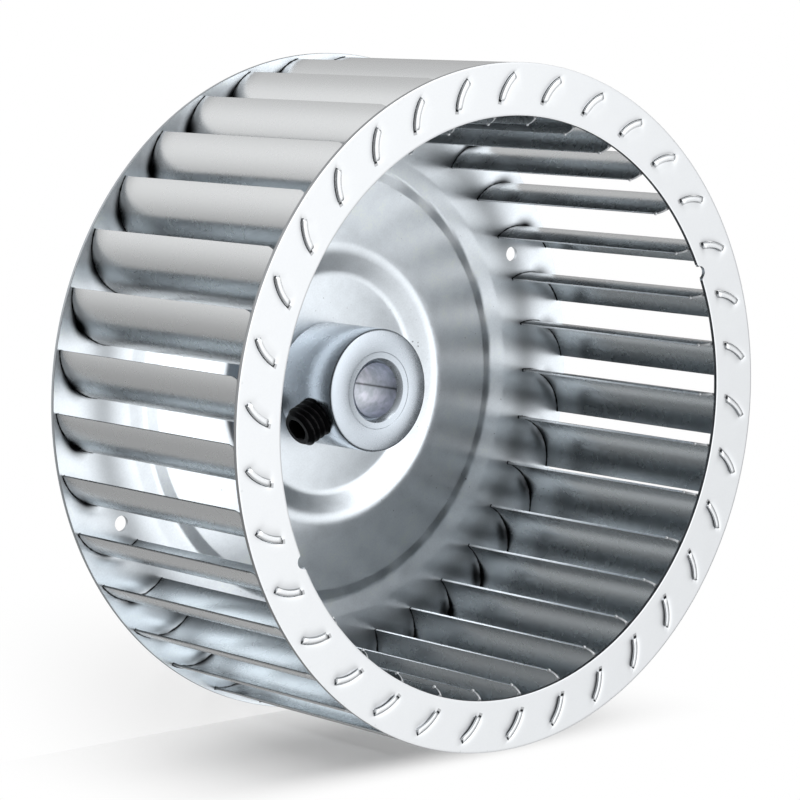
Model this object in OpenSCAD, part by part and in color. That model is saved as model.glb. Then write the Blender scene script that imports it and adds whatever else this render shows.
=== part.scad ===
// A single-inlet blower wheel, the forward-curved squirrel-cage kind that pulls flue gas or air through
// a small housing. It lies on its back plate, with the shaft's axis along +Z and the inlet upwards.
// The X axis runs through the set screw, the two eye notches and the two plate holes, and passes
// midway between two blades.

/* [Wheel] */
// Outside diameter of the inlet ring
ring_d = 152.4; // [140:0.1:175]
// Length of a blade, from the back plate to the inlet ring
blade_h = 63.9; // [45:0.1:90]
// Number of blades
blade_count = 34; // [28:1:36]
// How far the back plate reaches past the inlet ring
plate_lip = 0.8; // [0:0.1:2]

/* [Inlet ring] */
// Thickness of the inlet ring's sheet
ring_t = 0.9; // [0.6:0.05:1.5]
// Width of the inlet ring, from the eye to its outside
ring_w = 11.6; // [10.5:0.1:12.8]
// Radius of the two locating notches in the edge of the eye
notch_r = 1.5; // [0.8:0.1:2.2]
// Corner radius where a notch meets the eye
notch_round = 0.6; // [0.2:0.1:1]

/* [Blades] */
// Thickness of the blade sheet
blade_t = 0.5; // [0.35:0.05:0.7]
// Radius of the blade's curve
blade_curve = 10.8; // [9.6:0.1:14]
// Radial depth of a blade
blade_depth = 13.15; // [12.4:0.05:14]
// Turn about the shaft from a blade's outer edge to its inner edge
blade_sweep = 8.2; // [7:0.1:8.6]
// How far the blade's outer edge stands inside the ring's outside
edge_inset = 0.2; // [0:0.05:0.6]
// Gap between a blade's shoulders and the back plate
shoulder_gap = 0.25; // [0.05:0.05:0.4]
// Height over which the blade's inner corner is rounded off, under the ring
corner_h = 2.9; // [1.5:0.1:5]
// Height of the small chamfer on the blade's outer corner, under the ring
tip_cut_h = 2.0; // [0.5:0.1:4]
// Width of the small chamfer on the blade's outer corner
tip_cut_w = 0.6; // [0.2:0.1:1.2]

/* [Clinch tabs] */
// Length of a tab along the blade's curve
tab_l = 7.0; // [4:0.1:7.6]
// Distance of the tab's middle from the ring's outside
tab_inset = 4.9; // [4.6:0.1:5.4]
// Width of the strip that is folded over
fold_w = 1.35; // [1:0.05:1.8]
// Outside radius of the fold
fold_round = 0.4; // [0.2:0.05:0.5]
// Rounding of the tab's free edge
tab_round = 0.2; // [0.05:0.05:0.3]
// Clearance of a tab in its slot
slot_gap = 0.15; // [0.05:0.01:0.2]
// Room at each end of a tab in its slot
slot_end = 0.3; // [0.1:0.05:0.4]
// Radius of the relief nicks beside each tab
nick_r = 0.45; // [0.3:0.05:0.6]

/* [Back plate] */
// Thickness of the back plate's sheet
plate_t = 0.9; // [0.6:0.05:1.5]
// Flat width round the hub, to the foot of the rise
disc_flat = 11.7; // [9:0.1:14]
// How far the flat disc round the hub stands above the plate's rim
disc_rise = 0.4; // [0.35:0.05:0.8]
// Width of the rise from its foot to the crest
crest_run = 5.8; // [5:0.1:7]
// Height above the plate's rim at which the rise meets the cone
crest_h = 3.45; // [2.6:0.05:4]
// Height above the plate's rim of the cone's foot, where the step down begins
step_h = 0.72; // [0.4:0.02:1]
// Width of the step down
step_w = 2.9; // [2.6:0.1:3.6]
// Depth of the groove at the bottom of the step, below the plate's rim
groove_h = 0.4; // [0.2:0.05:0.45]
// Width of the groove's gentle outer side
groove_w = 4.4; // [3.6:0.1:5.5]
// Distance from the blades' inner edges to the bottom of the groove
groove_gap = 10.7; // [9:0.1:12]
// Bend radius at the foot of the rise
foot_bend = 4; // [3:0.5:6]
// Bend radius of the crest
crest_bend = 5.4; // [3:0.2:6]
// Bend radius at the top of the step
step_bend = 3; // [2:0.5:5]
// Bend radius at the bottom of the groove
groove_bend = 3; // [2:0.5:5]
// Bend radius where the groove runs out into the flat rim
rim_bend = 9; // [5:1:15]
// Diameter of the two holes between blades
hole_d = 3.6; // [2:0.1:4.2]
// How far the centre of each hole lies outside the blades' inner edges
hole_out = 2.1; // [1.8:0.1:2.6]

/* [Hub] */
// Outside diameter of the hub
hub_d = 28.6; // [25:0.1:34]
// Length of the hub above the plate
hub_l = 19.1; // [16:0.1:26]
// Diameter of the shaft bore
bore_d = 12.7; // [9.5:0.05:14.3]
// Chamfer at the mouth of the bore
bore_chamfer = 1.15; // [0.5:0.05:1.6]
// Chamfer round the hub's face
hub_chamfer = 0.6; // [0.2:0.05:1.2]
// Width of the faced step round the bore's chamfer
face_step_w = 1.4; // [0.8:0.1:2.4]
// Depth of the faced step round the bore's chamfer
face_step_h = 0.12; // [0.05:0.01:0.3]
// Diameter of the hub's spigot through the plate
spigot_d = 20.4; // [18:0.1:22]
// Clearance of the spigot in the plate
spigot_gap = 0.05; // [0.02:0.01:0.15]
// Width of the swaged lip that holds the hub to the plate
swage_w = 1.3; // [0.8:0.1:2]
// Height of the swaged lip behind the plate
swage_h = 0.8; // [0.5:0.05:0.85]

/* [Set screw] */
// Outside diameter of the set screw's thread
screw_d = 9.525; // [7.9:0.005:10]
// Length of the set screw
screw_l = 12.7; // [9.5:0.1:16]
// Distance of the set screw's axis below the hub's face
screw_drop = 7.5; // [6.5:0.1:8.5]
// How far the screw's point stands back from the shaft bore
screw_back = 0.9; // [0.3:0.1:2]
// Radial clearance between the set screw and its hole
thread_gap = 0.08; // [0.02:0.01:0.1]
// Chamfer at the outer end of the screw
screw_chamfer = 0.7; // [0.3:0.05:1.1]
// Diameter of the cup at the screw's point
cup_d = 4.8; // [3:0.1:5.4]
// Depth of the cup at the screw's point
cup_h = 1.1; // [0.5:0.1:1.5]
// Width across the flats of the hex socket
hex_w = 4.76; // [3:0.01:5]
// Depth of the hex socket
hex_h = 5.2; // [3:0.1:6]
// Countersink round the mouth of the tapped hole
mouth_chamfer = 0.5; // [0.2:0.05:0.9]

/* [Hidden] */
steps = 96;
pitch = 360 / blade_count;
ring_r = ring_d / 2;
eye_r = ring_r - ring_w;
plate_r = ring_r + plate_lip;
blade_out_r = ring_r - edge_inset;
blade_in_r = blade_out_r - blade_depth;

// Heights, from the outside of the rear tabs upwards
rim_z = blade_t;
floor_z = rim_z + plate_t;
ring_z = floor_z + blade_h;
face_z = ring_z + ring_t;
disc_z = floor_z + disc_rise;
hub_z = disc_z + hub_l;
screw_z = hub_z - screw_drop;
lip_z = disc_z - plate_t - swage_h;

// One blade's own frame: the inner edge lies on +X and the outer edge is turned back by the sweep
edge_in = [blade_in_r, 0];
edge_out = blade_out_r * [cos(blade_sweep), -sin(blade_sweep)];
chord = norm(edge_out - edge_in);
chord_dir = (edge_out - edge_in) / chord;
curve_c = (edge_in + edge_out) / 2
    + sqrt(blade_curve * blade_curve - chord * chord / 4) * [chord_dir[1], -chord_dir[0]];
curve_far = norm(curve_c);
curve_dir = atan2(curve_c[1], curve_c[0]);

// Angle about the blade's own centre at which its curve crosses radius r of the wheel
function curve_at(r) = curve_dir
    + acos((r * r - curve_far * curve_far - blade_curve * blade_curve) / (2 * curve_far * blade_curve));
// Angle about the blade's own centre that a length along the curve takes
function turn(s) = s / blade_curve * 180 / PI;

a_in = curve_at(blade_in_r);
a_out = curve_at(blade_out_r);
a_eye = curve_at(eye_r);
a_tab = curve_at(ring_r - tab_inset);
tab_turn = turn(tab_l);
corner_w = (a_in - a_eye) * PI / 180 * blade_curve;

// Plate profile: front face corners as [radius, height, bend radius], from the spigot hole outwards
hub_r = hub_d / 2;
bore_r = bore_d / 2;
spigot_r = spigot_d / 2;
seat_r = spigot_r + spigot_gap;
disc_r = hub_r + disc_flat;
crest_r = disc_r + crest_run;
groove_r = blade_in_r - groove_gap;
step_r = groove_r - step_w;
plate_line = [
    [seat_r, disc_z, 0],
    [disc_r, disc_z, foot_bend],
    [crest_r, floor_z + crest_h, crest_bend],
    [step_r, floor_z + step_h, step_bend],
    [groove_r, floor_z - groove_h, groove_bend],
    [groove_r + groove_w, floor_z, rim_bend],
    [plate_r, floor_z, 0],
];

screw_r = screw_d / 2;
screw_in = bore_r + screw_back;
screw_out = screw_in + screw_l;

blade_names = [for (i = [1 : blade_count]) str("blade_", i < 10 ? "0" : "", i)];

// Points of a bend of radius r at corner q, between the runs towards p and s
function bend(p, q, s, r, n = 5) =
    let (u = (p - q) / norm(p - q), v = (s - q) / norm(s - q),
        half = acos(max(-1, min(1, u * v))) / 2, reach = r / tan(half),
        mid = (u + v) / norm(u + v), c = q + mid * r / sin(half),
        a = q + u * reach - c, b = q + v * reach - c,
        from = atan2(a[1], a[0]), span = (atan2(b[1], b[0]) - from + 540) % 360 - 180)
    [for (i = [0 : n]) c + r * [cos(from + span * i / n), sin(from + span * i / n)]];
// A line of corners with its bends rounded
function rounded(line) = [for (i = [0 : len(line) - 1]) each
    line[i][2] == 0 ? [[line[i][0], line[i][1]]]
    : bend([line[i - 1][0], line[i - 1][1]], [line[i][0], line[i][1]], [line[i + 1][0], line[i + 1][1]],
        line[i][2])];
// Points of an arc about c, from angle a to angle b
function arc(c, r, a, b, n = 4) =
    [for (i = [0 : n]) c + r * [cos(a + (b - a) * i / n), sin(a + (b - a) * i / n)]];
function lowered(points, h) = [for (i = [len(points) - 1 : -1 : 0]) points[i] - [0, h]];

// A piece of a curved wall about the blade's own centre, from angle a to angle b
module curved_wall(a, b, t, z, h) {
    translate([curve_c[0], curve_c[1], z]) rotate([0, 0, a])
        rotate_extrude(angle = b - a, $fn = steps)
            translate([blade_curve - t / 2, 0]) square([t, h]);
}

// The rolled blank: a curved wall with both ends folded over towards its hollow side
module blank() {
    outer = blade_curve + blade_t / 2;
    inner = outer - blade_t;
    edge = outer - fold_w;
    top_z = face_z + blade_t;
    translate([curve_c[0], curve_c[1], 0]) rotate([0, 0, a_out])
        rotate_extrude(angle = a_in - a_out, $fn = steps)
            polygon(concat(
                arc([outer - fold_round, top_z - fold_round], fold_round, 0, 90),
                arc([edge + tab_round, top_z - tab_round], tab_round, 90, 180),
                [[edge, face_z], [inner, face_z], [inner, rim_z], [edge, rim_z]],
                arc([edge + tab_round, tab_round], tab_round, 180, 270),
                arc([outer - fold_round, fold_round], fold_round, 270, 360)));
}

// What is cropped from the blank beside a tab, over heights z to z + h
module crop(z, h) {
    width = 4 * fold_w;
    curved_wall(a_tab + tab_turn / 2, a_in + 12, width, z, h);
    curved_wall(a_out - 12, a_tab - tab_turn / 2, width, z, h);
}

// The two nicks that free a tab from the blade's shoulder at height z
module nicks(z) {
    for (side = [-1, 1])
        translate([curve_c[0], curve_c[1], z])
            rotate([0, 0, a_tab + side * (tab_turn / 2 + turn(nick_r * 0.7))])
                translate([blade_curve, 0, 0]) rotate([0, 90, 0])
                    cylinder(r = nick_r, h = 4 * blade_t, center = true, $fn = 24);
}

// The rounded inner corner and the chamfered outer corner, cut away under the inlet ring
module corner_cuts() {
    lean = atan(corner_w / corner_h) / 4;
    corner_r = (corner_w * corner_w + corner_h * corner_h)
        / (2 * (corner_w * cos(lean) - corner_h * sin(lean)));
    translate([edge_in[0], edge_in[1], ring_z]) rotate([0, 0, a_in - 90]) rotate([90, 0, 0])
        linear_extrude(6 * blade_t, center = true) difference() {
            translate([-1, -corner_h]) square([1 + corner_r, corner_h + 1]);
            translate([corner_r * cos(lean), -corner_h - corner_r * sin(lean)])
                circle(corner_r, $fn = steps);
        }
    translate([edge_out[0], edge_out[1], ring_z]) rotate([0, 0, a_out + 90]) rotate([90, 0, 0])
        linear_extrude(6 * blade_t, center = true)
            polygon([[-1, -tip_cut_h], [0, -tip_cut_h], [tip_cut_w, 0], [tip_cut_w, 1], [-1, 1]]);
}

// A blade with its tabs folded over the ring and behind the plate
module blade() {
    color("lightsteelblue") difference() {
        blank();
        crop(ring_z, ring_t + 2 * blade_t);
        crop(rim_z - 2 * blade_t, plate_t + 2 * blade_t + shoulder_gap);
        corner_cuts();
        nicks(ring_z);
        nicks(floor_z + shoulder_gap);
    }
}

// The slots that the tabs pass through
module slots(z, t) {
    for (i = [1 : blade_count]) rotate([0, 0, (i - 0.5) * pitch])
        curved_wall(a_tab - tab_turn / 2 - turn(slot_end), a_tab + tab_turn / 2 + turn(slot_end),
            blade_t + 2 * slot_gap, z - 1, t + 2);
}

module inlet_ring() {
    color("gainsboro") difference() {
        translate([0, 0, ring_z]) cylinder(r = ring_r, h = ring_t, $fn = 2 * steps);
        translate([0, 0, ring_z - 1]) cylinder(r = eye_r, h = ring_t + 2, $fn = 2 * steps);
        slots(ring_z, ring_t);
        for (side = [0, 180]) rotate([0, 0, side]) translate([0, 0, ring_z - 1])
            linear_extrude(ring_t + 2) notch();
    }
}

// A half-round notch in the edge of the eye, with its two corners rounded
module notch() {
    reach = notch_r + notch_round;
    difference() {
        union() {
            translate([eye_r, 0]) circle(notch_r, $fn = 48);
            translate([eye_r - notch_r, -reach]) square([notch_r + notch_round, 2 * reach]);
        }
        for (side = [-1, 1]) translate([eye_r + notch_round, side * reach])
            circle(notch_round, $fn = 32);
    }
}

module back_plate() {
    front = rounded(plate_line);
    color("silver") difference() {
        rotate_extrude($fn = 2 * steps) polygon(concat(front, lowered(front, plate_t)));
        slots(rim_z, plate_t);
        for (side = [0, 180]) rotate([0, 0, side]) translate([blade_in_r + hole_out, 0, 0])
            cylinder(d = hole_d, h = floor_z + 1, $fn = 48);
    }
}

module hub() {
    bore_mouth = bore_r + bore_chamfer;
    step_r = bore_mouth + face_step_w;
    color("silver") difference() {
        rotate_extrude($fn = 2 * steps) polygon([
            [bore_r, lip_z + hub_chamfer], [bore_r + hub_chamfer, lip_z],
            [spigot_r + swage_w - swage_h / 2, lip_z], [spigot_r + swage_w, lip_z + swage_h / 2],
            [spigot_r + swage_w, disc_z - plate_t], [spigot_r, disc_z - plate_t],
            [spigot_r, disc_z], [hub_r, disc_z], [hub_r, hub_z - hub_chamfer],
            [hub_r - hub_chamfer, hub_z], [step_r, hub_z], [step_r - face_step_h, hub_z - face_step_h],
            [bore_mouth, hub_z - face_step_h], [bore_r, hub_z - face_step_h - bore_chamfer]]);
        translate([0, 0, screw_z]) rotate([0, -90, 0]) {
            cylinder(r = screw_r + thread_gap, h = hub_d, $fn = 64);
            translate([0, 0, hub_r - mouth_chamfer])
                cylinder(r1 = screw_r + thread_gap, r2 = screw_r + thread_gap + 2 * mouth_chamfer,
                    h = 2 * mouth_chamfer, $fn = 64);
        }
    }
}

// The set screw stands proud, as delivered, with its point just short of the bore
module set_screw() {
    color("dimgray") translate([0, 0, screw_z]) rotate([0, -90, 0]) difference() {
        rotate_extrude($fn = 64) polygon([
            [0, screw_in + cup_h], [cup_d / 2 - 0.4, screw_in + cup_h / 2], [cup_d / 2, screw_in],
            [cup_d / 2 + 0.3, screw_in], [screw_r, screw_in + (screw_r - cup_d / 2) / 2],
            [screw_r, screw_out - screw_chamfer], [screw_r - screw_chamfer, screw_out], [0, screw_out]]);
        translate([0, 0, screw_out - hex_h]) cylinder(d = hex_w / cos(30), h = hex_h + 1, $fn = 6);
        translate([0, 0, screw_out - (hex_w / 8)])
            cylinder(d1 = hex_w, d2 = hex_w + hex_w / 2, h = hex_w / 4, $fn = 48);
    }
}

inlet_ring();
back_plate();
hub();
set_screw();
for (i = [1 : blade_count])
    rotate([0, 0, (i - 0.5) * pitch]) blade();
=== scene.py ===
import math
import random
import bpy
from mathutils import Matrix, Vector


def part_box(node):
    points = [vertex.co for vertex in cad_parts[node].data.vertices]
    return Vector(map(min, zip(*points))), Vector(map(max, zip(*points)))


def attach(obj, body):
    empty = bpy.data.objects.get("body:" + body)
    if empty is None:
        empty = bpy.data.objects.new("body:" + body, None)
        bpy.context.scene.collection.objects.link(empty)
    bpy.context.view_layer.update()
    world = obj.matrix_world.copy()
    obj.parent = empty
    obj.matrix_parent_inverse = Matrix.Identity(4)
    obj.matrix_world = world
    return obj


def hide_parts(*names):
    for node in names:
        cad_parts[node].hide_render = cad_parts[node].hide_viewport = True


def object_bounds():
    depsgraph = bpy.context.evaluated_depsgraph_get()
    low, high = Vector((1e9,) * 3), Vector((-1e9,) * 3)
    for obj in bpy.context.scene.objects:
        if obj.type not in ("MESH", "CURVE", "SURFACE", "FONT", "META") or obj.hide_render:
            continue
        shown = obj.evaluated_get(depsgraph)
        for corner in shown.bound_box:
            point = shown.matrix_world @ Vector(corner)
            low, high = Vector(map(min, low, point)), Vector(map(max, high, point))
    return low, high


bl_info = {
    "name": "Blower Wheel",
    "version": (1, 0, 0),
    "blender": (4, 5, 0),
    "location": "3D View > Sidebar > Blower Wheel",
    "description": "Dresses a galvanised forward-curved blower wheel and lights it in a small studio",
    "category": "Object",
}

import bmesh
import bpy
from bpy.props import FloatProperty, FloatVectorProperty, IntProperty, PointerProperty
from mathutils import Matrix, Vector, noise

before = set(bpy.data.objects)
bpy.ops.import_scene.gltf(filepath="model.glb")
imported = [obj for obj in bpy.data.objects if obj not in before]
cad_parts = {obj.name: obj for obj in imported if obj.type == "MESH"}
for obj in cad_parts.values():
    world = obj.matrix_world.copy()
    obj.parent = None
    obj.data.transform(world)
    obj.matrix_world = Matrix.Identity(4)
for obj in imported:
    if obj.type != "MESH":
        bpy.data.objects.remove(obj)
CAD_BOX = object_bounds()

WHEEL = "wheel"
SCREW = "set_screw"
BLADES = sorted(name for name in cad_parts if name.startswith("blade_"))
PITCH = 2 * math.pi / len(BLADES)
RING_LOW, RING_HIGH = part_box("inlet_ring")
HUB_LOW, HUB_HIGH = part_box("hub")
SCREW_LOW, SCREW_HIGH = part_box("set_screw")
FLOOR_Z = CAD_BOX[0].z
RING_R = RING_HIGH.x
PLATE_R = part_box("back_plate")[1].x
MM = 0.001
PLATE_UNDER = FLOOR_Z + 0.5 * MM
PLATE_TOP = PLATE_UNDER + RING_HIGH.z - RING_LOW.z
SCREW_Z = (SCREW_LOW.z + SCREW_HIGH.z) / 2
SAME_SPOT = 1e-6
SHARP_FROM = math.radians(32)

# How far a sheet's columns are drawn towards the blades, and to which side
BUNCH, BUNCH_SHIFT = 0.105, 0.04
# How far the dished place beside a tab reaches past its edges, and the slot past the tab
DISH_PAST_FREE_EDGE, DISH_PAST_BACK, DISH_PAST_END, DISH_END_FADE = 0.75 * MM, 0.35 * MM, 0.1 * MM, 0.28 * MM
SLOT_BESIDE, SLOT_OUTWARDS, SLOT_INWARDS = 0.15 * MM, 0.25 * MM, 0.5 * MM
NOTCH_CORNER = 0.6 * MM
DENTS_FROM = 56 * MM
# Columns of a blade's faces: by its outer edge, the even ones, and over its inner corner as shares of the
# corner's width; rows as shares of its height
FIRST_COLUMNS = (0.0, 0.1 * MM, 0.25 * MM, 0.6 * MM)
EVEN_FROM, EVEN_END = 1.2 * MM, 0.4 * MM
CORNER_COLUMNS = (1.0, 0.88, 0.76, 0.62, 0.48, 0.34, 0.2, 0.09, 0.0)
BLADE_ROWS = (0.0, 0.006, 0.012, 0.03, 0.1, 0.22, 0.36, 0.5, 0.64, 0.78, 0.9, 0.95, 0.975, 0.993, 0.998, 1.0)
BLADE_IN_PLATE, UNDER_RING = 0.45 * MM, 0.02 * MM
WAVE_WIDTH, WAVE_HEIGHT = 3.5 * MM, 45 * MM
# A tab's rounded fold, the round of its free edge, and the length over which its ends fall away
TAB_ROUND, TAB_LIP, TAB_END = 0.75 * MM, 0.07 * MM, 0.7 * MM
# A burr's radius, and the places of the two: above the corner's foot and below its top
BURR_R, BURR_UP, BURR_DOWN = 0.38 * MM, 0.1 * MM, 0.4 * MM
# Angle about the shaft of the seam line in the bore
BORE_SEAM = math.radians(-27)
# Rounding of the pieces' edges
RING_EDGE, PLATE_EDGE, BLADE_EDGE, TAB_EDGE, HUB_EDGE = 0.09 * MM, 0.08 * MM, 0.07 * MM, 0.06 * MM, 0.05 * MM
# The thread: half its foot and half its crest as shares of the pitch, where it starts and ends, and its run-out
THREAD_FOOT, THREAD_CREST = 0.47, 0.07
THREAD_START, THREAD_END, THREAD_RUNOUT = 0.6 * MM, 0.55 * MM, 0.8 * MM


def size(name, description, default, low=0.0):
    """A length in metres, which the panel shows in the scene's unit."""
    return FloatProperty(name=name, description=description, default=default, min=low, unit="LENGTH", precision=5)


def share(name, description, default, high=1.0):
    return FloatProperty(name=name, description=description, default=default, min=0.0, max=high, subtype="FACTOR")


def roughness(what, default):
    return share(what.capitalize() + " roughness", "Roughness of the " + what, default)


def turn(name, description, degrees):
    return FloatProperty(name=name, description=description, default=math.radians(degrees), unit="ROTATION")


def colour(name, description, default):
    """A colour that the panel shows with a colour picker."""
    return FloatVectorProperty(
        name=name, description=description, default=default, subtype="COLOR", size=3, min=0.0, max=1.0
    )


class WheelSizes(bpy.types.PropertyGroup):
    """Sizes of the sheet metal and of the turned pieces."""

    sheet: size("Sheet", "Thickness of the ring's and the plate's sheet", RING_HIGH.z - RING_LOW.z)
    blade_sheet: size("Blade sheet", "Thickness of a blade", 0.0005)
    eye: size("Eye", "Radius of the inlet ring's opening", 0.0646)
    blade_in: size("Inner edges", "Radius of the circle through the blades' inner edges", 0.06285)
    blade_out: size("Outer edges", "Radius of the circle through the blades' outer edges", 0.0760)
    blade_curve: size("Blade curve", "Radius of a blade's curve", 0.0108)
    blade_sweep: turn("Blade sweep", "Turn about the shaft from a blade's outer edge to its inner edge", 8.2)
    corner: size("Inner corner", "Height over which a blade's inner corner is rounded off", 0.0029)
    tip: size("Outer corner", "Height of the chamfer on a blade's outer corner", 0.0020)
    tip_width: size("Outer corner width", "Width of the chamfer on a blade's outer corner", 0.0006)
    tab: size("Tab", "Length of a tab along the blade's curve", 0.0070)
    tab_inset: size("Tab inset", "Distance from the ring's outside to the middle of a tab", 0.0049)
    fold: size("Fold", "Width of the strip that is folded over", 0.00135)
    ring_dish: size("Ring dish", "Depth to which the ring is pressed down beside a tab", 0.00022)
    foot_dish: size("Foot dish", "Depth to which the plate is pressed down beside a blade's foot", 0.00034)
    foot_swell: size("Foot swell", "Height to which the plate swells on the other side of a blade's foot", 0.00022)
    notch: size("Notch", "Radius of the two notches in the eye's edge", 0.0015)
    hole: size("Hole", "Radius of the two holes in the plate", 0.0018)
    hole_place: size("Hole place", "Distance of the two holes from the shaft's axis", 0.06495)
    disc_rise: size("Disc rise", "Height of the flat disc round the hub above the plate's rim", 0.0004)
    hub: size("Hub", "Radius of the hub", HUB_HIGH.x)
    spigot: size("Spigot", "Radius of the hub's spigot, which passes through the plate", 0.0102)
    bore: size("Bore", "Radius of the shaft's bore", 0.00635)
    screw: size("Screw", "Outside radius of the set screw's thread", SCREW_HIGH.y)
    thread: size("Thread pitch", "Distance between the thread's turns", 0.0015875, 0.0005)
    thread_depth: size("Thread depth", "Depth of the thread", 0.00072)
    socket: size("Socket", "Width of the hex socket across its flats", 0.00476)
    ripple: size("Ripple", "Height of the shallow waves that rolling leaves in a blade", 0.000018)


class WheelFinish(bpy.types.PropertyGroup):
    """Colours and gloss of the wheel's metals."""

    ring: colour("Ring zinc", "Colour of the zinc on the inlet ring", (0.780, 0.800, 0.820))
    plate: colour("Plate zinc", "Colour of the zinc on the back plate", (0.805, 0.860, 0.910))
    # Painted shade: the hollow side is a darker, bluer copy of the same zinc as the rounded side.
    outside: colour("Blade zinc, outside", "Colour of the zinc on a blade's rounded side", (0.570, 0.580, 0.585))
    inside: colour("Blade zinc, inside", "Colour of the zinc in a blade's hollow side", (0.530, 0.570, 0.595))
    # Painted highlight: the blades' inner sheared edges, the faces of their inner corners and their burrs are painted
    # in this near-white colour.
    cut: colour("Cut edge", "Colour of a sheared edge", (0.90, 0.92, 0.94))
    # Painted shade: most marks laid on in this colour are painted shade in creases, at contacts and along edges; the
    # rest is real dirt and the bore's seam.
    shade_and_grime: colour("Grime", "Colour of the dark line and smudge at a blade's foot", (0.012, 0.013, 0.015))
    plating: colour("Hub plating", "Colour of the hub's bright zinc plating", (0.53, 0.58, 0.635))
    # Partly painted light: besides the plating's real bluish tint, this is a much brighter copy of the hub's plating,
    # painted into the bore.
    tint_and_sheen: colour("Plating tint", "Colour that the plating turns in the bore", (0.88, 0.89, 1.00))
    black: colour("Black oxide", "Colour of the set screw", (0.003, 0.003, 0.0035))
    bare: colour("Rubbed oxide", "Colour of the screw's rubbed edges", (0.022, 0.022, 0.024))
    grain: size("Grain", "Size of the fine grain in the zinc", 0.00045, 0.0001)
    mottle: size("Mottle", "Size of the cloudy patches in the zinc", 0.0045, 0.0001)
    ring_gloss: roughness("ring", 0.34)
    plate_gloss: roughness("plate", 0.30)
    blade_gloss: roughness("blades", 0.27)
    hub_gloss: roughness("hub", 0.27)
    screw_gloss: roughness("screw", 0.34)


class WheelStudio(bpy.types.PropertyGroup):
    """The camera, the lamp, the glowing air and the two pale planes."""

    air: share("Air", "Brightness of the air all round", 0.14, 4.0)
    lamp_power: FloatProperty(
        name="Lamp power", description="Power of the key lamp", default=0.5, min=0.0, unit="POWER"
    )
    upright: turn("Upright azimuth", "Direction that the photograph shows as up, about +Z from +X", 65.35)
    floor_shade: share("Floor shade", "How much of its shadow the floor shows beside the wheel", 0.35)
    drop_shade: share("Backdrop shade", "How much of its shadow the backdrop shows beside the wheel", 0.8)
    distance: size("Camera distance", "From the camera to the point it looks at", 0.73853)
    azimuth: turn("Camera azimuth", "Turn of the camera about +Z from +X", 144.023)
    elevation: turn("Camera elevation", "Height of the camera above the floor's plane", 49.046)
    roll: turn("Camera roll", "Turn of the camera about its own axis", 98.601)
    aim: FloatVectorProperty(
        name="Aim", description="The point that the camera looks at", default=(-0.00264, 0.00018, 0.03135),
        subtype="TRANSLATION", size=3
    )
    lens: FloatProperty(name="Lens", description="Focal length in millimetres on a 36 mm sensor", default=146.06)


def sizes():
    return bpy.context.scene.wheel_sizes


def finish():
    return bpy.context.scene.wheel_finish


def studio():
    return bpy.context.scene.wheel_studio


def polar(radius, angle):
    return Vector((radius * math.cos(angle), radius * math.sin(angle)))


class BladeArc:
    """The arc that a blade follows, seen along the shaft, for the blade whose inner edge lies on +X."""

    def __init__(self):
        look = sizes()
        inner, outer = polar(look.blade_in, 0), polar(look.blade_out, -look.blade_sweep)
        chord = outer - inner
        along = chord.normalized()
        self.radius = look.blade_curve
        height = math.sqrt(self.radius ** 2 - chord.length_squared / 4)
        self.centre = (inner + outer) / 2 + height * Vector((along.y, -along.x))
        self.far = self.centre.length
        self.way = math.atan2(self.centre.y, self.centre.x)
        self.first, self.last = self.at(look.blade_in), self.at(look.blade_out)
        self.middle = self.at(RING_R - look.tab_inset)

    def at(self, r):
        """Angle about the arc's own centre at which it crosses radius r of the wheel."""
        lean = (r * r - self.far ** 2 - self.radius ** 2) / (2 * self.far * self.radius)
        return self.way + math.acos(lean)

    def length(self, angle):
        """Length along the arc from the middle of the tab to this angle."""
        return (angle - self.middle) * self.radius

    def azimuth(self, r):
        """Angle about the shaft at which the arc crosses radius r of the wheel."""
        r = min(max(r, sizes().blade_in), sizes().blade_out)
        return self.way + math.acos((r * r + self.far ** 2 - self.radius ** 2) / (2 * r * self.far))

    def place(self, x, y):
        """Number of the nearest blade, distance across its arc, + on the rounded side, and length along it."""
        r, angle = math.hypot(x, y), math.atan2(y, x)
        number = round((angle - self.azimuth(r)) / PITCH - 0.5)
        return (number, *self.beside(polar(r, angle - (number + 0.5) * PITCH)))

    def beside(self, spot):
        """Distance across the arc and length along it, for a point beside the blade on +X."""
        away = spot - self.centre
        return away.length - self.radius, self.length(math.atan2(away.y, away.x))


def bump(value, middle, width):
    """A smooth hump that is 1 in the middle."""
    return math.exp(-((value - middle) / width) ** 2 / 2)


def clamp(value, low=0.0, high=1.0):
    return min(max(value, low), high)


def steps_between(start, end, count):
    return [start + (end - start) * i / count for i in range(count + 1)]


def quarter(count):
    """Steps over a quarter of a turn."""
    return steps_between(0, math.pi / 2, count)


# Meshes

def verts_in(items):
    return [item for item in items if isinstance(item, bmesh.types.BMVert)]


def face_outwards(bm):
    bmesh.ops.recalc_face_normals(bm, faces=bm.faces)


def swept(points, closed, **sweep):
    """Spins a line of points about Z, or a closed section, whose two ends are then capped."""
    bm = bmesh.new()
    verts = [bm.verts.new(point) for point in points]
    edges = [bm.edges.new(pair) for pair in zip(verts, verts[1:] + verts[:1] * closed)]
    bmesh.ops.spin(bm, geom=verts + edges, axis=(0, 0, 1), **sweep)
    if closed:
        bmesh.ops.holes_fill(bm, edges=[edge for edge in bm.edges if edge.is_boundary], sides=0)
    else:
        bmesh.ops.remove_doubles(bm, verts=bm.verts, dist=SAME_SPOT)
    face_outwards(bm)
    return bm


def turned(line, steps):
    """A form turned about Z from a line of radii and heights."""
    return swept([(r, 0, z) for r, z in line], False, angle=2 * math.pi, steps=steps, use_merge=True)


def add(bm, new):
    """Moves one bmesh's faces into another."""
    mesh = bpy.data.meshes.new("part")
    new.to_mesh(mesh)
    new.free()
    bm.from_mesh(mesh)
    bpy.data.meshes.remove(mesh)


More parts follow.
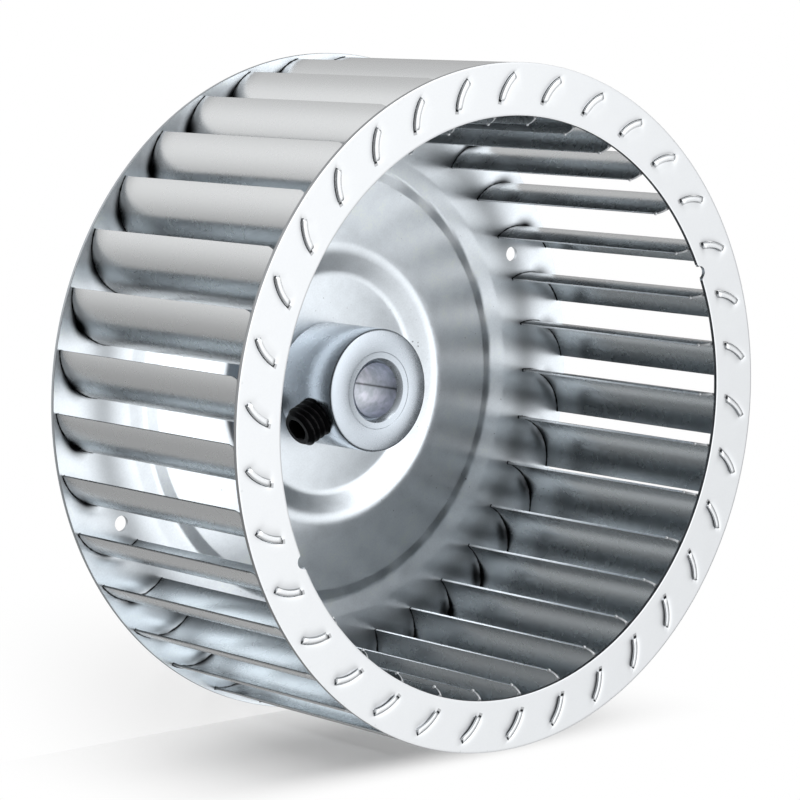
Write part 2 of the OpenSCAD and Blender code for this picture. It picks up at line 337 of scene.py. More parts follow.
def spread(line, columns):
    """A round sheet, drawn out ring by ring from a circle: line gives radius and height."""
    bm = bmesh.new()
    verts = bmesh.ops.create_circle(bm, segments=columns, radius=1.0)["verts"]
    edges = bm.edges[:]
    for number, (r, z) in enumerate(line):
        if number:
            new = bmesh.ops.extrude_edge_only(bm, edges=edges)["geom"]
            edges = [item for item in new if isinstance(item, bmesh.types.BMEdge)]
            verts = verts_in(new)
        for vert in verts:
            way = vert.co.to_2d().normalized()
            vert.co = (way.x * r, way.y * r, z)
    return bm


def drawn_out(bm, faces, rise, **options):
    """Draws faces out straight up or down into a closed form."""
    face_outwards(bm)
    new = bmesh.ops.extrude_face_region(bm, geom=faces, **options)["geom"]
    bmesh.ops.translate(bm, verts=verts_in(new), vec=(0, 0, rise))
    face_outwards(bm)


def prism(bm, outline, low, high):
    """Adds an upright prism over an outline."""
    clean = [point for i, point in enumerate(outline) if (point - outline[i - 1]).length > SAME_SPOT]
    face = bm.faces.new([bm.verts.new((point.x, point.y, low)) for point in clean])
    drawn_out(bm, [face], high - low, use_keep_orig=True)


def sharp_edges(bm, angle=60.0, keep=lambda edge: True):
    limit = math.radians(angle)
    return [edge for edge in bm.edges if edge.is_manifold and edge.calc_face_angle(0) > limit and keep(edge)]


def soften(bm, edges, offset, segments=2):
    bmesh.ops.bevel(
        bm, geom=edges, offset=offset, offset_type="OFFSET", segments=segments, profile=0.5, affect="EDGES",
        clamp_overlap=True, material=-1
    )


def placed(name, bm, *materials):
    """Turns a bmesh into an object in the scene."""
    mesh = bpy.data.meshes.new(name)
    bm.to_mesh(mesh)
    bm.free()
    for material in materials:
        mesh.materials.append(material)
    made = bpy.data.objects.new(name, mesh)
    bpy.context.scene.collection.objects.link(made)
    return made


def piece(name, bm, node, body, material):
    """Turns a bmesh into a finished piece that stands for a CAD node."""
    made = placed(name, bm, material)
    made.data.shade_smooth()
    made.data.set_sharp_from_angle(angle=SHARP_FROM)
    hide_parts(node)
    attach(made, body)
    return made


def cut_away(made, cutters):
    """Takes the cutters' space out of a piece, and puts the result in its mesh."""
    cutter = placed("cutter", cutters)
    modifier = made.modifiers.new("cut", "BOOLEAN")
    modifier.operation = "DIFFERENCE"
    modifier.solver = "EXACT"
    modifier.object = cutter
    seen = made.evaluated_get(bpy.context.evaluated_depsgraph_get())
    result = bpy.data.meshes.new_from_object(seen)
    made.modifiers.clear()
    old, spare = made.data, cutter.data
    made.data = result
    result.name = old.name
    bpy.data.objects.remove(cutter)
    for mesh in (old, spare):
        bpy.data.meshes.remove(mesh)
    result.set_sharp_from_angle(angle=SHARP_FROM)


def lay_along_minus_x(bm, height):
    """Lays a turned form with its axis along -X, at this height."""
    bm.transform(Matrix.Translation((0, 0, height)) @ Matrix.Rotation(-math.pi / 2, 4, "Y"))


def follow_blades(bm, columns):
    """Turns and bunches a sheet's columns, so that they run along the blades and lie close beside them."""
    arc = BladeArc()
    for vert in bm.verts:
        r, angle = math.hypot(vert.co.x, vert.co.y), math.atan2(vert.co.y, vert.co.x) % (2 * math.pi)
        number, part = divmod(round(angle / PITCH * columns), columns)
        part = part / columns - 0.5
        drawn = math.sin(2 * math.pi * (BUNCH_SHIFT - 0.5)) - math.sin(2 * math.pi * (part + BUNCH_SHIFT))
        vert.co.x, vert.co.y = polar(r, (number + 0.5 + part + BUNCH * drawn) * PITCH + arc.azimuth(r))


# Pieces

class WHEEL_OT_form_ring(bpy.types.Operator):
    """Press the inlet ring out of a flat sheet, with a dished place beside every tab"""

    bl_idname = "wheel.form_ring"
    bl_label = "Form the inlet ring"

    rings: IntProperty(name="Rings", description="Rings of faces across the ring", default=25, min=8)
    columns: IntProperty(name="Columns", description="Columns of faces to a blade", default=30, min=12)

    def execute(self, context):
        look = sizes()
        radii = steps_between(look.eye, RING_R, self.rings)
        bm = spread([(r, RING_HIGH.z) for r in radii], self.columns * len(BLADES))
        follow_blades(bm, self.columns)
        arc = BladeArc()
        for vert in bm.verts:
            vert.co.z -= self.dish(arc, vert.co)
        drawn_out(bm, bm.faces[:], -look.sheet)
        soften(bm, sharp_edges(bm), RING_EDGE)
        made = piece("inlet_ring_sheet", bm, "inlet_ring", WHEEL, ring_material())
        cutters = self.slots()
        for side in (0, math.pi):
            self.notch(cutters, side)
        cut_away(made, cutters)
        return {"FINISHED"}

    def dish(self, arc, spot):
        """Depth of the dished place beside a tab, deepest along the tab's free edge."""
        look = sizes()
        number, across, along = arc.place(spot.x, spot.y)
        free, back = look.blade_sheet / 2 - look.fold, look.blade_sheet / 2
        if across < free:
            side = math.exp((across - free) / DISH_PAST_FREE_EDGE)
        else:
            side = math.exp(-max(across - back, 0) / DISH_PAST_BACK)
        ends = 1 / (1 + math.exp((abs(along) - look.tab / 2 - DISH_PAST_END) / DISH_END_FADE))
        return look.ring_dish * side * ends * random.Random(number % len(BLADES)).uniform(0.7, 1.3)

    def slots(self):
        """Cutters for the slots that the tabs pass through, a little longer at their inner ends."""
        look, arc = sizes(), BladeArc()
        bm = bmesh.new()
        half = look.blade_sheet / 2 + SLOT_BESIDE
        ends = steps_between(arc.middle - (look.tab / 2 + SLOT_OUTWARDS) / arc.radius,
                             arc.middle + (look.tab / 2 + SLOT_INWARDS) / arc.radius, 12)
        outline = [arc.centre + polar(arc.radius + half, t) for t in ends]
        outline += [arc.centre + polar(arc.radius - half, t) for t in reversed(ends)]
        for number in range(len(BLADES)):
            rotate = Matrix.Rotation((number + 0.5) * PITCH, 2)
            prism(bm, [rotate @ point for point in outline], RING_LOW.z - MM, RING_LOW.z + 3 * MM)
        return bm

    def notch(self, cutters, side):
        """A half-round notch in the eye's edge, with its two corners rounded."""
        look = sizes()
        c, r = NOTCH_CORNER, look.notch
        reach = r + c
        outline = [(-MM, -reach)]
        outline += [(c - c * math.cos(t), c * math.sin(t) - reach) for t in quarter(5)]
        outline += [(r * math.cos(t), r * math.sin(t)) for t in steps_between(-math.pi / 2, math.pi / 2, 14)]
        outline += [(c - c * math.sin(t), reach - c * math.cos(t)) for t in quarter(5)]
        outline += [(-MM, reach)]
        out, along = polar(1, side), polar(1, side + math.pi / 2)
        prism(cutters, [out * (look.eye + x) + along * y for x, y in outline], RING_LOW.z - MM, RING_HIGH.z + MM)


class WHEEL_OT_form_plate(bpy.types.Operator):
    """Press the back plate, with its crest, cone, groove and the dented places round the blades' feet"""

    bl_idname = "wheel.form_plate"
    bl_label = "Form the back plate"

    columns: IntProperty(name="Columns", description="Columns of faces to a blade", default=16, min=12)

    def execute(self, context):
        look = sizes()
        bm = spread(self.section(), self.columns * len(BLADES))
        follow_blades(bm, self.columns)
        arc = BladeArc()
        for vert in bm.verts:
            vert.co.z += self.dent(arc, vert.co)
        drawn_out(bm, bm.faces[:], -look.sheet)
        soften(bm, sharp_edges(bm), PLATE_EDGE, 1)
        made = piece("back_plate_sheet", bm, "back_plate", WHEEL, plate_material())
        cutters = bmesh.new()
        for side in (-1, 1):
            bmesh.ops.create_cone(
                cutters, cap_ends=True, segments=40, radius1=look.hole, radius2=look.hole, depth=6 * MM,
                matrix=Matrix.Translation((side * look.hole_place, 0, 0))
            )
        cut_away(made, cutters)
        return {"FINISHED"}

    def section(self):
        """Points of the plate's face from the hub outwards, as radius and height."""
        look = sizes()
        groove = look.blade_in - 10.7 * MM
        groove_end = groove + 4.4 * MM
        # Radius, height above the rim and bend radius of each corner: centre hole, crest's foot, crest,
        # the cone's outer end, groove, groove's outer end, rim
        corners = (
            (look.spigot + 0.05 * MM, look.disc_rise, 0),
            (look.hub + 11.7 * MM, look.disc_rise, 4 * MM),
            (look.hub + 17.5 * MM, 3.45 * MM, 5.4 * MM),
            (groove - 2.9 * MM, 0.72 * MM, 3 * MM),
            (groove, -0.4 * MM, 3 * MM),
            (groove_end, 0, 9 * MM),
            (PLATE_R, 0, 0),
        )
        spots = [Vector((r, PLATE_TOP + rise)) for r, rise, bend in corners]
        line = spots[:1]
        for before, here, after, (r, rise, bend) in zip(spots, spots[1:], spots[2:], corners[1:]):
            back, on = (before - here).normalized(), (after - here).normalized()
            half = back.angle(on) / 2
            centre = here + (back + on).normalized() * bend / math.sin(half)
            first, last = (here + way * bend / math.tan(half) - centre for way in (back, on))
            line += [centre + first.slerp(last, t) * bend for t in steps_between(0, 1, 5)]
        filled = line[:1]
        for spot in line[1:] + spots[-1:]:
            longest = 0.7 * MM if spot.x > groove_end else 2.4 * MM
            count = max(1, math.ceil((spot - filled[-1]).length / longest))
            filled += [filled[-1].lerp(spot, (j + 1) / count) for j in range(count)]
        return filled

    def dent(self, arc, spot):
        """Dip in the hollow of a blade's foot and swell on its rounded side."""
        look = sizes()
        r = math.hypot(spot.x, spot.y)
        if r < DENTS_FROM:
            return 0.0
        number, across, along = arc.place(spot.x, spot.y)
        chance = random.Random(number % len(BLADES) + 50)
        dip, swell = (
            height * bump(across, *beside) * bump(along, *lengthwise) * chance.uniform(*varies)
            for height, beside, lengthwise, varies in (
                (look.foot_dish, (-1.25 * MM, 1.05 * MM), (0.2 * MM, 3.9 * MM), (0.7, 1.25)),
                (look.foot_swell, (1.0 * MM, 0.85 * MM), (0.6 * MM, 3.4 * MM), (0.6, 1.3)),
            )
        )
        return (swell - dip) * clamp((PLATE_R - r) / (1.2 * MM)) * clamp((r - DENTS_FROM) / (3 * MM))


class WHEEL_OT_form_blades(bpy.types.Operator):
    """Roll the 34 blades, each with a folded tab at both ends"""

    bl_idname = "wheel.form_blades"
    bl_label = "Form the blades"

    def execute(self, context):
        material = blade_material()
        for name in BLADES:
            number = int(name.split("_")[1])
            chance = random.Random(number * 7)
            bm = self.strip(number)
            self.tab(bm, chance, RING_HIGH.z, 1)
            self.tab(bm, chance, PLATE_UNDER, -1)
            self.burrs(bm)
            bm.transform(Matrix.Rotation((number - 0.5) * PITCH, 4, "Z"))
            piece(name + "_strip", bm, name, WHEEL, material)
        return {"FINISHED"}

    def strip(self, number):
        """The curved strip itself, standing a little way into the plate's sheet."""
        look, arc = sizes(), BladeArc()
        width = (arc.first - arc.last) * arc.radius
        eye = (arc.first - arc.at(look.eye)) * arc.radius
        places = list(FIRST_COLUMNS) + steps_between(EVEN_FROM, width - eye - EVEN_END, 17)
        places += [width - eye * x for x in CORNER_COLUMNS]
        last_column, last_row = len(places) - 1, len(BLADE_ROWS) - 1
        bm = bmesh.new()
        bmesh.ops.create_grid(bm, x_segments=last_column, y_segments=last_row, size=1)
        low = PLATE_TOP - BLADE_IN_PLATE
        wave = Vector((number * 3.7, number * 1.3, 0))
        for vert in bm.verts:
            x = places[round((vert.co.x + 1) / 2 * last_column)]
            high = RING_LOW.z - UNDER_RING - self.corner(x, width, eye)
            z = low + (high - low) * BLADE_ROWS[round((vert.co.y + 1) / 2 * last_row)]
            ripple = look.ripple * noise.noise(Vector((x / WAVE_WIDTH, z / WAVE_HEIGHT, 0)) + wave)
            spot = arc.centre + polar(arc.radius + look.blade_sheet / 2 + ripple, arc.last + x / arc.radius)
            vert.co = (spot.x, spot.y, z)
        face_outwards(bm)
        face = bm.faces[0]
        outwards = face.calc_center_median().to_2d() - arc.centre
        if face.normal.to_2d().dot(outwards) < 0:
            bmesh.ops.reverse_faces(bm, faces=bm.faces)
        bmesh.ops.solidify(bm, geom=bm.faces[:], thickness=look.blade_sheet)
        face_outwards(bm)
        soften(bm, sharp_edges(bm, 50), BLADE_EDGE)
        return bm

    def corner(self, x, width, eye):
        """How far the strip's top lies below the ring: the chamfer outside, the rounded corner inside."""
        look = sizes()
        if x < look.tip_width:
            return look.tip * (1 - x / look.tip_width)
        left = width - x
        if left >= eye:
            return 0.0
        lean = math.atan(eye / look.corner) / 4
        radius = (eye ** 2 + look.corner ** 2) / (2 * (eye * math.cos(lean) - look.corner * math.sin(lean)))
        beside = left - radius * math.cos(lean)
        rise = math.sqrt(max(radius ** 2 - beside ** 2, 0)) - radius * math.sin(lean)
        return clamp(look.corner - rise, 0, look.corner)

    def tab(self, bm, chance, face, up):
        """A tab that stands in its slot and is folded over towards the blade's hollow side."""
        look, arc = sizes(), BladeArc()
        outer, inner = arc.radius + look.blade_sheet / 2, arc.radius - look.blade_sheet / 2
        edge = outer - look.fold * chance.uniform(0.93, 1.0)
        top, lip, root = look.blade_sheet, TAB_LIP, -1.6 * MM
        section = [(outer, root)]
        section += [(outer - TAB_ROUND * (1 - math.cos(t)), top * math.sin(t)) for t in quarter(6)]
        section += [(edge + lip * (1 - math.sin(t)), top - lip * (1 - math.cos(t))) for t in quarter(2)]
        section += [(edge + 0.03 * MM, -0.12 * MM), (inner, -0.1 * MM), (inner, root)]
        half = look.tab / 2 / arc.radius
        start = arc.middle - half
        new = swept([(*(arc.centre + polar(r, start)), face + up * z) for r, z in section], True,
                    cent=(*arc.centre, 0), angle=2 * half, steps=14)
        sag = chance.uniform(0.0, 0.06) * MM
        for vert in new.verts:
            across, along = arc.beside(vert.co.to_2d())
            out = (vert.co.z - face) * up
            if out > 0:
                end = clamp((abs(along) - look.tab / 2 + TAB_END) / TAB_END)
                vert.co.z = face + up * (out * (1 - 0.35 * end ** 2) - sag * out / top)
                pull = 1 + 0.18 * MM * end ** 2 * (across < 0) / arc.radius
                vert.co.x, vert.co.y = arc.centre + (vert.co.to_2d() - arc.centre) * pull
        above = sharp_edges(new, 55, lambda edge: all((v.co.z - face) * up > 0.02 * MM for v in edge.verts))
        soften(new, above, TAB_EDGE, 1)
        add(bm, new)

    def burrs(self, bm):
        """Two small burrs where the shear began and ended the inner corner."""
        look, arc = sizes(), BladeArc()
        for angle, drop in ((arc.first, look.corner - BURR_UP), (arc.at(look.eye), BURR_DOWN)):
            spot = arc.centre + polar(arc.radius, angle)
            place = Matrix.Translation((spot.x, spot.y, RING_LOW.z - drop))
            bmesh.ops.create_icosphere(bm, subdivisions=2, radius=BURR_R, matrix=place)


class WHEEL_OT_turn_hub(bpy.types.Operator):
    """Turn the hub, with its chamfered bore, faced ring, tapped hole and swaged lip"""

    bl_idname = "wheel.turn_hub"
    bl_label = "Turn the hub"

    chamfer: size("Bore chamfer", "Width of the chamfer at the mouth of the bore", 0.00115)
    faced: size("Faced ring", "Width of the faced ring round the chamfer", 0.0014)
    faced_depth: size("Faced depth", "Depth of the faced ring below the hub's end", 0.00012)
    lip: size("Lip", "Radius of the lip that is swaged over behind the plate", 0.0115)
    clearance: size("Clearance", "Gap between the set screw's thread and its hole", 0.00008)
    countersink: size("Countersink", "Depth of the countersink of the tapped hole", 0.0005)

    def execute(self, context):
        look = sizes()
        top, low = HUB_HIGH.z, HUB_LOW.z
        seat = PLATE_TOP + look.disc_rise
        faced, faced_end = top - self.faced_depth, look.bore + self.chamfer + self.faced
        corner, inset = 0.6 * MM, 0.18 * MM
        line = [
            (look.bore, low), (look.bore, top - self.chamfer), (look.bore + self.chamfer, faced),
            (faced_end, faced), (faced_end + 0.08 * MM, top), (look.hub - corner, top),
            (look.hub - inset, top - inset), (look.hub, top - corner), (look.hub, seat),
            (look.spigot, seat), (look.spigot, seat - look.sheet), (self.lip, seat - look.sheet),
            (self.lip - 0.5 * MM, low),
        ]
        bm = turned(line + line[:1], 144)
        soften(bm, sharp_edges(bm, 40), HUB_EDGE)
        made = piece("hub_bush", bm, "hub", WHEEL, hub_material())
        hole = look.screw + self.clearance
        wide, reach = hole + self.countersink, look.hub + 0.2 * MM
        beyond = reach + 2 * MM
        narrow = reach - self.countersink - 0.3 * MM
        cutter = turned([(0, 0), (hole, 0), (hole, narrow), (wide, reach), (wide, beyond), (0, beyond)], 96)
        lay_along_minus_x(cutter, SCREW_Z)
        cut_away(made, cutter)
        return {"FINISHED"}


class WHEEL_OT_cut_screw(bpy.types.Operator):
    """Cut the set screw, with its thread, cup point and hex socket"""

    bl_idname = "wheel.cut_screw"
    bl_label = "Cut the set screw"

    steps: IntProperty(name="Steps", description="Faces round the screw, a multiple of 12", default=72, min=24, step=12)

    def execute(self, context):
        length = SCREW_HIGH.x - SCREW_LOW.x
        bm = self.core(length)
        self.thread(bm, length)
        bm.transform(Matrix.Translation((0, 0, -SCREW_HIGH.x)))
        lay_along_minus_x(bm, SCREW_Z)
        piece("set_screw_thread", bm, "set_screw", SCREW, screw_material())
        return {"FINISHED"}

    def core(self, length):
        """The screw without its thread: cup point, shank, and socket down from the top."""
        look = sizes()
        root, flat = look.screw - look.thread_depth, look.socket / 2
        cup, cup_depth, cup_rim, taper = 2.4 * MM, 1.1 * MM, 2.7 * MM, 0.9 * MM
        bevel_width, bevel, mouth = 0.35 * MM, 0.45 * MM, 0.25 * MM
        flats_end, drilled_end = length - 5.2 * MM, length - 6.2 * MM
        point = [(0, cup_depth), (cup, 0), (cup_rim, 0), (root, taper)]
        head = [(root, length - bevel), (root - bevel_width, length), (flat * 1.13, length)]
        socket = [(flat, length - mouth), (flat, flats_end), (0, drilled_end)]
        bm = turned(point + head + socket, self.steps)
        for vert in bm.verts:
            r = math.hypot(vert.co.x, vert.co.y)
            if abs(r - flat) < SAME_SPOT and vert.co.z > 2 * MM:
                angle = math.atan2(vert.co.y, vert.co.x) % (math.pi / 3) - math.pi / 6
                vert.co.x, vert.co.y = vert.co.x / math.cos(angle), vert.co.y / math.cos(angle)
        return bm

    def thread(self, bm, length):
        """A helical ridge round the core, which runs out at both ends."""
        look = sizes()
        root, crest = look.screw - look.thread_depth - 0.1 * MM, look.screw
        half, flat = look.thread * THREAD_FOOT, look.thread * THREAD_CREST
        low, high = THREAD_START, length - THREAD_END
        count = round(self.steps * (high - low) / look.thread)
        section = [(root, 0, low - half), (crest, 0, low - flat), (crest, 0, low + flat), (root, 0, low + half)]
        new = swept(section, True, dvec=(0, 0, look.thread / self.steps),
                    angle=2 * math.pi * count / self.steps, steps=count)
        for vert in new.verts:
            r = math.hypot(vert.co.x, vert.co.y)
            room = clamp(min(vert.co.z - low + half, high + half - vert.co.z) / THREAD_RUNOUT)
            most = root + (crest - root) * room
            if r > most:
                vert.co.x, vert.co.y = vert.co.x * most / r, vert.co.y * most / r
            vert.co.z = clamp(vert.co.z, 0.2 * MM, length - 0.1 * MM)
        add(bm, new)


# Materials

def arithmetic(operation):
    """A method that puts a flow and its partners through a Math node."""
    return lambda flow, *others: flow.wires.math(operation, flow, *others)


class Flow:
    """A value that runs through a node tree, with the arithmetic that masks need."""

    def __init__(self, wires, socket):
        self.wires, self.socket = wires, socket

    __add__, __sub__, __mul__ = arithmetic("ADD"), arithmetic("SUBTRACT"), arithmetic("MULTIPLY")
    __truediv__, __abs__ = arithmetic("DIVIDE"), arithmetic("ABSOLUTE")

    def __rsub__(self, other):
        return self.wires.math("SUBTRACT", other, self)

    def step(self, low, high):
        """Rises smoothly from 0 at low to 1 at high, or falls where high is the lower one."""
        inputs = {"Value": self, "From Min": min(low, high), "From Max": max(low, high)}
        if high < low:
            inputs.update({"To Min": 1, "To Max": 0})
        return self.wires.out("Result", "MapRange", inputs, interpolation_type="SMOOTHSTEP")

    def hump(self, middle, width):
        """A smooth hump that is 1 in the middle."""
        away = (self - middle) / width
        return self.wires.math("EXPONENT", away * away * -0.5)


class Wires:
    """Places nodes in a tree and joins them up."""

    def __init__(self, tree):
        self.tree = tree

    def join(self, value, socket):
        if isinstance(value, Flow):
            self.tree.links.new(value.socket, socket)
        elif socket.type == "RGBA":
            socket.default_value = (*value[:3], 1)
        elif socket.type == "VECTOR":
            socket.default_value = value[:3]
        else:
            socket.default_value = value

    def node(self, kind, inputs=(), **settings):
        """Adds a node, with its own settings and its inputs by name or number."""
        made = self.tree.nodes.new("ShaderNode" + kind)
        for name, value in settings.items():
            setattr(made, name, value)
        for name, value in dict(inputs).items():
            self.join(value, made.inputs[name])
        return made

    def outs(self, kind, inputs=(), **settings):
        """Adds a node and gives all of its outputs."""
        return [Flow(self, socket) for socket in self.node(kind, inputs, **settings).outputs]

    def out(self, output, kind, inputs=(), **settings):
        """Adds a node and gives one of its outputs."""
        return Flow(self, self.node(kind, inputs, **settings).outputs[output])

    def math(self, operation, *values):
        return self.out(0, "Math", enumerate(values), operation=operation)

    def vector(self, operation, *values):
        """A number worked out from two vectors."""
        return self.out("Value", "VectorMath", enumerate(values), operation=operation)

    def hypot(self, x, y):
        return self.math("SQRT", x * x + y * y)

    def most(self, first, *others):
        for other in others:
            first = self.math("MAXIMUM", first, other)
        return first

    def blend(self, share, first, second):
        """Mixes two colours."""
        return self.out(2, "Mix", {"Factor": share, 6: first, 7: second}, data_type="RGBA")

    def either(self, share, first, second):
        """Mixes two shaders."""
        return self.out(0, "MixShader", {0: share, 1: first, 2: second})

    def shade(self, tone, amount):
        """A colour times a number."""
        return self.out(0, "VectorMath", {0: tone, "Scale": amount}, operation="SCALE")

    def noise(self, place, scale, detail=2.0, rough=0.5):
        inputs = {"Vector": place, "Scale": scale, "Detail": detail, "Roughness": rough}
        return self.out("Fac", "TexNoise", inputs)


def group(name, inputs, build):
    """A node group: build gets its wires and its inputs, and gives its outputs by name."""
    if name in bpy.data.node_groups:
        return bpy.data.node_groups[name]
    tree = bpy.data.node_groups.new(name, "ShaderNodeTree")
    for label, kind in inputs.items():
        tree.interface.new_socket(label, in_out="INPUT", socket_type="NodeSocket" + kind)
    wires, start = Wires(tree), tree.nodes.new("NodeGroupInput")
    results = build(wires, *(Flow(wires, start.outputs[label]) for label in inputs))
    for label in results:
        tree.interface.new_socket(label, in_out="OUTPUT", socket_type="NodeSocketFloat")
    end = tree.nodes.new("NodeGroupOutput")
    for label, value in results.items():
        wires.join(value, end.inputs[label])
    return tree


def mm(length):
    """A length in millimetres, as the materials count."""
    return length / MM


def blade_place(wires, place):
    """Where a point lies beside the nearest blade's arc, in millimetres."""
    look, arc = sizes(), BladeArc()
    x, y, z = wires.outs("SeparateXYZ", {"Vector": place})
    radius = wires.hypot(x, y)
    angle = wires.math("ARCTAN2", y, x)
    held = wires.math("MINIMUM", wires.math("MAXIMUM", radius, look.blade_in), look.blade_out)
    law = (held * held + (arc.far ** 2 - arc.radius ** 2)) / (held * (2 * arc.far))
    azimuth = wires.math("ARCCOSINE", law) + arc.way
    number = wires.math("ROUND", (angle - azimuth) / PITCH - 0.5)
    own = angle - (number + 0.5) * PITCH
    away_x = radius * wires.math("COSINE", own) - arc.centre.x
    away_y = radius * wires.math("SINE", own) - arc.centre.y
    return {
        "Across": (wires.hypot(away_x, away_y) - arc.radius) * mm(1),
        "Along": (wires.math("ARCTAN2", away_y, away_x) - arc.middle) * mm(arc.radius),
        "Radius": radius * mm(1),
        "Height": z * mm(1),
        "Chance": wires.out("Value", "TexWhiteNoise", {"W": number}, noise_dimensions="1D"),
    }


def zinc_coat(wires, place, cloud_depth, grain_depth):
    """The cloudy patches and the fine grain of a zinc coating."""
    look = finish()
    cloud = wires.noise(place, 1 / look.mottle, 3.0, 0.62)
    grain = wires.noise(place, 1 / look.grain, 2.0, 0.6)
    return {
        "Tone": (cloud - 0.5) * cloud_depth + (grain - 0.5) * grain_depth + 1.0,
        "Rough": (cloud - 0.5) * 0.07,
        "Height": grain + cloud * 0.15,
    }


class Skin(Wires):
    """The wires of a new material, with its Principled shader and the point's own place."""

    def __init__(self, name, metallic=1.0):
        self.material = bpy.data.materials.new(name)
        self.material.use_nodes = True
        super().__init__(self.material.node_tree)
        self.tree.nodes.clear()
        self.surface = self.node("OutputMaterial").inputs["Surface"]
        self.shader = self.node("BsdfPrincipled", {"Metallic": metallic})
        self.join(Flow(self, self.shader.outputs["BSDF"]), self.surface)
        self.own = self.out("Object", "TexCoord")

    def set(self, **values):
        """Joins values to the shader's inputs, whose names have a space for each underscore."""
        for name, value in values.items():
            self.join(value, self.shader.inputs[name.replace("_", " ")])

    def beside_blade(self):
        """Distance across the nearest blade's arc and along it, radius and height in millimetres, and chance."""
        tree = group("blade place", {"Place": "Vector"}, blade_place)
        return self.outs("Group", {"Place": self.own}, node_tree=tree)

    def finished(self, base, gloss, height, strength, distance):
        """The material, with its colour, its roughness and the relief that is too fine for the mesh."""
        inputs = {"Height": height, "Strength": strength, "Distance": distance}
        self.set(Base_Color=base, Roughness=gloss, Normal=self.out("Normal", "Bump", inputs))
        return self.material


class ZincSkin(Skin):
    """The wires of a sheet's material, with the tone, gloss and grain of its zinc."""

    def __init__(self, name, cloud, grain, relief):
        super().__init__(name)
        self.relief = relief
        tree = group("zinc", {"Place": "Vector", "Cloud Depth": "Float", "Grain Depth": "Float"}, zinc_coat)
        inputs = {"Place": self.own, "Cloud Depth": cloud, "Grain Depth": grain}
        self.tone, self.rough, self.height = self.outs("Group", inputs, node_tree=tree)

    def marked(self, dark, base, gloss):
        """The material, with painted shade in its creases, at its contacts and along its edges, and real dirt, laid
        over its colour.
        """
        base = self.blend(dark, base, finish().shade_and_grime)
        return self.finished(base, self.rough + gloss, self.height, 0.22, self.relief)


def ring_material():
    look, metal = sizes(), finish()
    skin = ZincSkin("ring zinc", 0.05, 0.05, 0.02 * MM)
    across, along, radius = skin.beside_blade()[:3]
    free, half = mm(look.blade_sheet / 2 - look.fold), mm(look.tab / 2)
    eye, rim = mm(look.eye), mm(RING_R)
    beside, off = abs(across), abs(along)
    within = off.step(half + 0.25, half - 0.1)
    # Painted shade: a dark crevice under the tab's free edge, a faint dark line behind its fold, and a soft dark halo
    # over the dished place beside it.
    crevice_shade = across.hump(free - 0.06, 0.12) * within * 0.60
    back = across.hump(0.33, 0.10) * within * 0.12
    # Painted shade: the open end of the slot past the tab is painted dark.
    slot = beside.step(0.62, 0.40) * along.step(half - 0.25, half) * along.step(half + 1.15, half + 0.95) * 0.45
    halo_shade = across.step(free - 2.4, free - 0.1) * across.step(free + 0.3, free + 0.1)
    halo_shade = halo_shade * off.step(half + 0.9, half - 0.8) * 0.13
    # Painted shade: the eye's edge and the rim's edge are painted dark.
    eye_edge_shade = radius.step(eye + 0.035, eye + 0.01) * 0.86
    rim_edge_shade = radius.step(rim - 0.05, rim - 0.02) * 0.62
    patch = skin.noise(skin.own, 900).step(0.66, 0.78) * radius.step(rim - 1.6, rim) * 0.18
    dark = skin.most(crevice_shade, back, slot, halo_shade, eye_edge_shade, rim_edge_shade, patch)
    return skin.marked(dark, skin.shade(metal.ring, skin.tone), metal.ring_gloss)


def blade_ends():
    """Length along the arc in millimetres at which a blade has its inner and its outer edge."""
    arc = BladeArc()
    return mm(arc.length(arc.first)), mm(arc.length(arc.last))


def plate_material():
    look, metal = sizes(), finish()
    skin = ZincSkin("plate zinc", 0.26, 0.20, 0.03 * MM)
    across, along, radius, _, chance = skin.beside_blade()
    first, last = blade_ends()
    rim, hub = mm(PLATE_R), mm(look.hub)
    on_blade = along.step(last - 0.25, last + 0.1) * along.step(first + 0.3, first)
    jag = (skin.noise(skin.own, 700) - 0.5) * 0.45
    # Painted shade: a jagged dark line along each blade's foot, a smudge of contact shade beside it and a soft shade
    # over its hollow side.
    line = (abs(across) + jag).step(0.52, 0.34) * on_blade * 0.97
    contact_shade = across.hump(0.2, 1.25) * along.hump(-0.6, 2.1) * on_blade * (chance * 0.5 + 0.8)
    soft = across.hump(-0.9, 1.7) * along.hump(-0.4, 4.2) * on_blade * 0.42
    specks = skin.noise(skin.own, 1500, 0.0).step(0.80, 0.86) * skin.noise(skin.own, 60).step(0.5, 0.65) * 0.6
    # Painted shade: the rim's edge is painted dark, and the band outside the blades' inner edges is painted shadow.
    rim_edge_shade = radius.step(rim - 0.05, rim - 0.02) * 0.6
    shadow = radius.hump(mm(look.blade_in) + 1.0, 3.2) * 0.55
    dark = skin.most(line, contact_shade, soft, shadow, specks, rim_edge_shade)
    # Painted light: the plate is painted lighter outwards from the crest.
    cone = radius.step(hub + 18.0, hub + 24.0) * 0.09
    return skin.marked(dark, skin.shade(metal.plate, skin.tone + cone), metal.plate_gloss)


